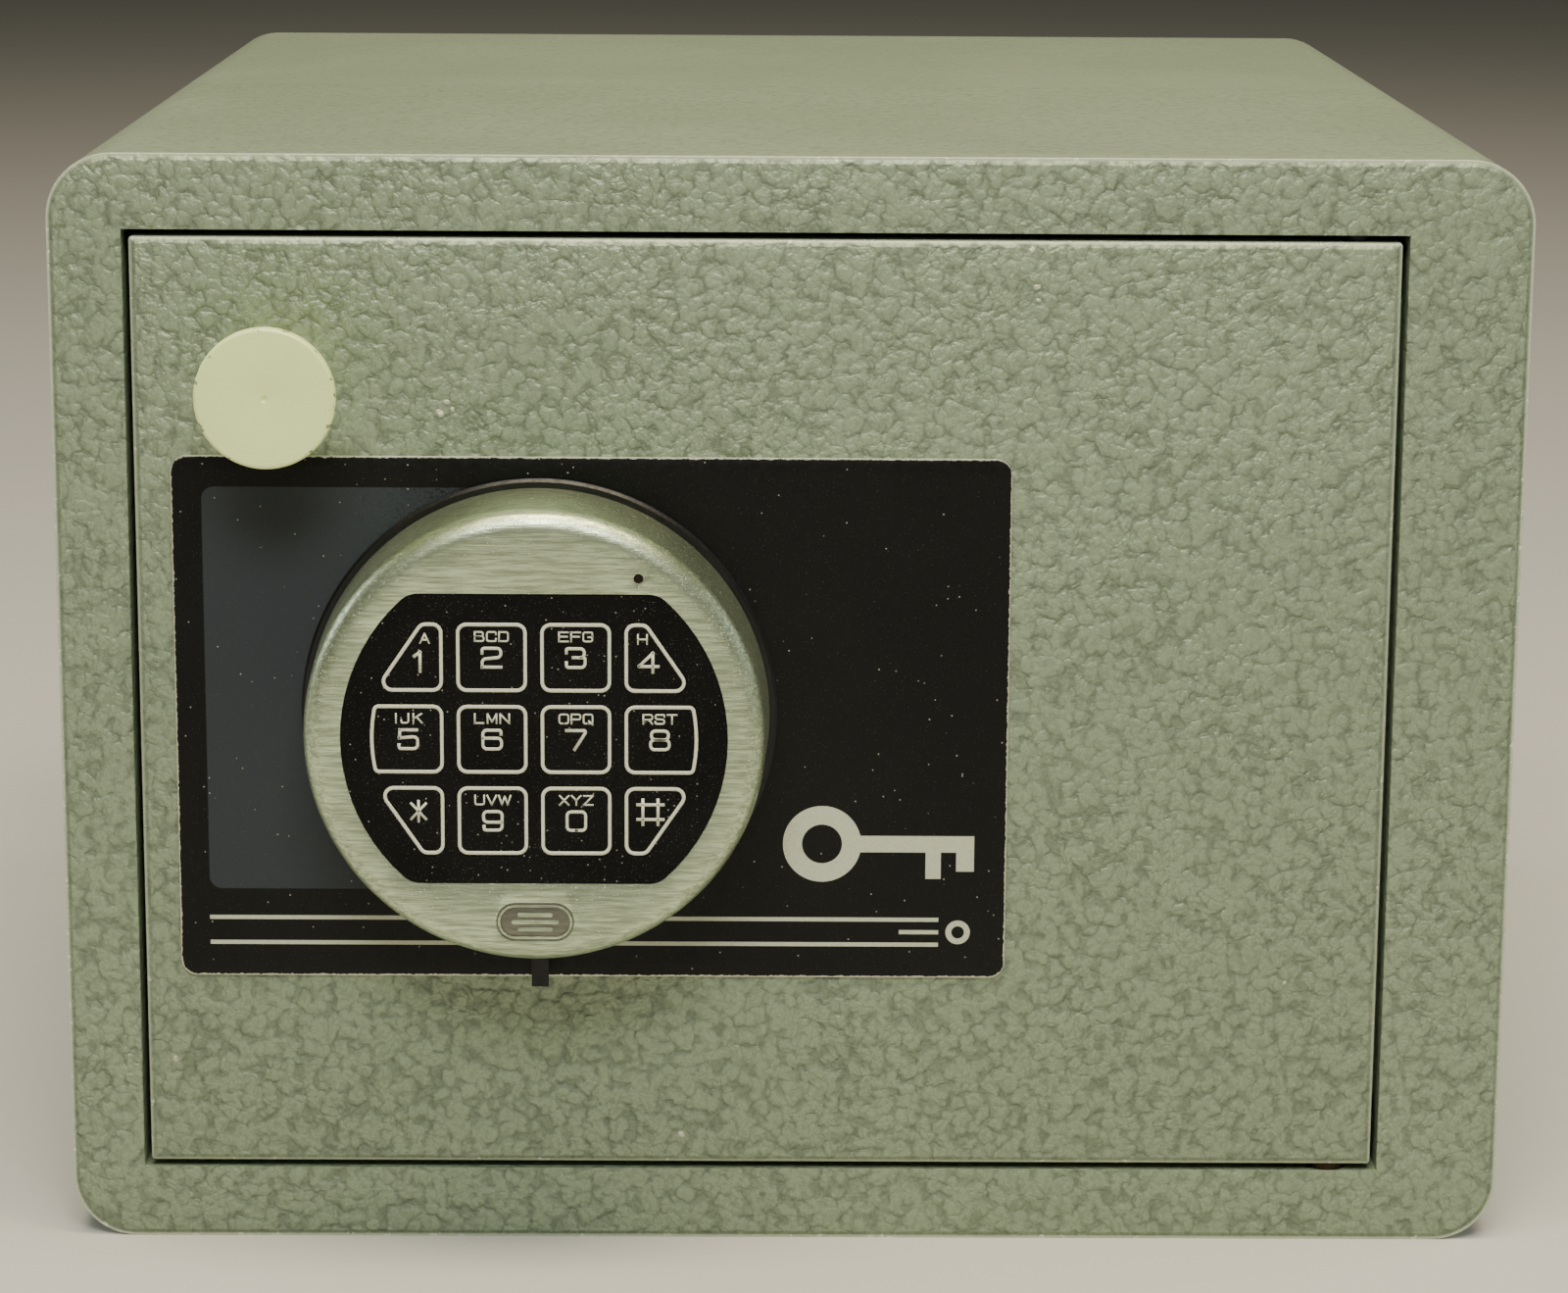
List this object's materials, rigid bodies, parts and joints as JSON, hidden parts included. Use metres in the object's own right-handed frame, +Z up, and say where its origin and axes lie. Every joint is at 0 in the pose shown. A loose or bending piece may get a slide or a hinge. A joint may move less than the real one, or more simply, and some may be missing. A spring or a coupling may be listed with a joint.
{
  "type": "small electronic safe",
  "caption": "Small steel safe: bent-plate cabinet with a flush pivot-hung door, round keypad lock, turning knob, sliding bolts and a battery drawer.",
  "frame": {"origin": "centre of the cabinet's underside", "axes": "+Z up, the door faces -Y, +X to the viewer's right, where the hinges are"},
  "size_m": [0.34, 0.3889, 0.259],
  "materials": {
    "hammered_paint": "hammered enamel, satin",
    "carpet": "needle felt",
    "bare_steel": "turned steel",
    "zinc_plate": "zinc plated",
    "brass": "turned brass",
    "label_black": "matte black print on metal",
    "black_plastic": "moulded, matte",
    "satin_nickel": "satin nickel, brushed sideways",
    "overlay_black": "printed film, semi-matte",
    "silicone": "silicone",
    "board_green": "circuit board lacquer",
    "lens_red": "dark red lens",
    "coil_copper": "lacquered winding",
    "knob_aluminium": "pale anodised, satin",
    "battery_case": "printed battery jacket"
  },
  "bodies": {
    "cabinet": {"outer_wrap": "hammered_paint", "front_frame": "hammered_paint", "back_plate": "hammered_paint", "floor_mat": "carpet", "hinge_pin_upper": "bare_steel", "hinge_pin_lower": "bare_steel", "hinge_washer": "brass"},
    "door": {"door_plate": "hammered_paint", "dog_bar": "hammered_paint", "label_plate": "label_black", "bolt_guide_upper": "bare_steel", "bolt_guide_lower": "bare_steel", "bolt_guide_screws": "zinc_plate", "lock_case": "zinc_plate", "lock_cover": "zinc_plate", "lock_screws": "zinc_plate", "lock_solenoid": "coil_copper", "lock_cable": "black_plastic", "door_cover": "hammered_paint", "cover_standoffs": "bare_steel", "cover_screws": "zinc_plate", "keypad_base": "black_plastic", "keypad_base_screws": "zinc_plate", "keypad_housing": "satin_nickel", "housing_screws": "zinc_plate", "keypad_overlay": "overlay_black", "dome_mat": "silicone", "circuit_board": "board_green", "sounder": "black_plastic", "indicator_lens": "lens_red", "badge_inlay": "satin_nickel", "knob_bush": "brass"},
    "button_1": {"key_1": "overlay_black"},
    "button_2": {"key_2": "overlay_black"},
    "button_3": {"key_3": "overlay_black"},
    "button_4": {"key_4": "overlay_black"},
    "button_5": {"key_5": "overlay_black"},
    "button_6": {"key_6": "overlay_black"},
    "button_7": {"key_7": "overlay_black"},
    "button_8": {"key_8": "overlay_black"},
    "button_star": {"key_star": "overlay_black"},
    "button_9": {"key_9": "overlay_black"},
    "button_0": {"key_0": "overlay_black"},
    "button_hash": {"key_hash": "overlay_black"},
    "knob_set": {"knob": "knob_aluminium", "knob_spindle": "bare_steel", "knob_grub_screw": "black_plastic", "spindle_ring": "bare_steel", "knob_cam": "zinc_plate", "cam_pin": "bare_steel"},
    "boltwork": {"bolt_bar": "zinc_plate", "bolt_upper": "bare_steel", "bolt_lower": "bare_steel", "bolt_nuts": "zinc_plate"},
    "latch": {"lock_bolt": "brass"},
    "battery_tray": {"battery_drawer": "black_plastic", "battery": "battery_case", "battery_snap": "black_plastic"}
  },
  "joints": [
    {"name": "door_swing", "type": "hinge", "parent": "cabinet", "child": "door", "pos_m": [0.1299, -0.175, 0.1295], "axis": [0, 0, 1], "range_deg": [0, 110]},
    {"name": "knob_turn", "type": "hinge", "parent": "door", "child": "knob_set", "pos_m": [-0.1181, -0.18, 0.2068], "axis": [0, 1, 0], "range_deg": [0, 60]},
    {"name": "bolt_slide", "type": "slide", "parent": "door", "child": "boltwork", "axis": [-1, 0, 0], "range_m": [0, 0.012]},
    {"name": "latch_slide", "type": "slide", "parent": "door", "child": "latch", "axis": [-1, 0, 0], "range_m": [0, 0.012]},
    {"name": "battery_tray_slide", "type": "slide", "parent": "door", "child": "battery_tray", "axis": [0, 0, -1], "range_m": [0, 0.05]},
    {"name": "key_1_press", "type": "slide", "parent": "door", "child": "button_1", "axis": [0, 1, 0], "range_m": [0, 0.0005], "stiffness_N_per_m": 1500},
    {"name": "key_2_press", "type": "slide", "parent": "door", "child": "button_2", "axis": [0, 1, 0], "range_m": [0, 0.0005], "stiffness_N_per_m": 1500},
    {"name": "key_3_press", "type": "slide", "parent": "door", "child": "button_3", "axis": [0, 1, 0], "range_m": [0, 0.0005], "stiffness_N_per_m": 1500},
    {"name": "key_4_press", "type": "slide", "parent": "door", "child": "button_4", "axis": [0, 1, 0], "range_m": [0, 0.0005], "stiffness_N_per_m": 1500},
    {"name": "key_5_press", "type": "slide", "parent": "door", "child": "button_5", "axis": [0, 1, 0], "range_m": [0, 0.0005], "stiffness_N_per_m": 1500},
    {"name": "key_6_press", "type": "slide", "parent": "door", "child": "button_6", "axis": [0, 1, 0], "range_m": [0, 0.0005], "stiffness_N_per_m": 1500},
    {"name": "key_7_press", "type": "slide", "parent": "door", "child": "button_7", "axis": [0, 1, 0], "range_m": [0, 0.0005], "stiffness_N_per_m": 1500},
    {"name": "key_8_press", "type": "slide", "parent": "door", "child": "button_8", "axis": [0, 1, 0], "range_m": [0, 0.0005], "stiffness_N_per_m": 1500},
    {"name": "key_star_press", "type": "slide", "parent": "door", "child": "button_star", "axis": [0, 1, 0], "range_m": [0, 0.0005], "stiffness_N_per_m": 1500},
    {"name": "key_9_press", "type": "slide", "parent": "door", "child": "button_9", "axis": [0, 1, 0], "range_m": [0, 0.0005], "stiffness_N_per_m": 1500},
    {"name": "key_0_press", "type": "slide", "parent": "door", "child": "button_0", "axis": [0, 1, 0], "range_m": [0, 0.0005], "stiffness_N_per_m": 1500},
    {"name": "key_hash_press", "type": "slide", "parent": "door", "child": "button_hash", "axis": [0, 1, 0], "range_m": [0, 0.0005], "stiffness_N_per_m": 1500}
  ],
  "couplings": [
    {"joint": "knob_turn", "follows": "bolt_slide", "rad_per_m": 87.266},
    {"joint": "latch_slide", "follows": "bolt_slide", "ratio": 1}
  ]
}
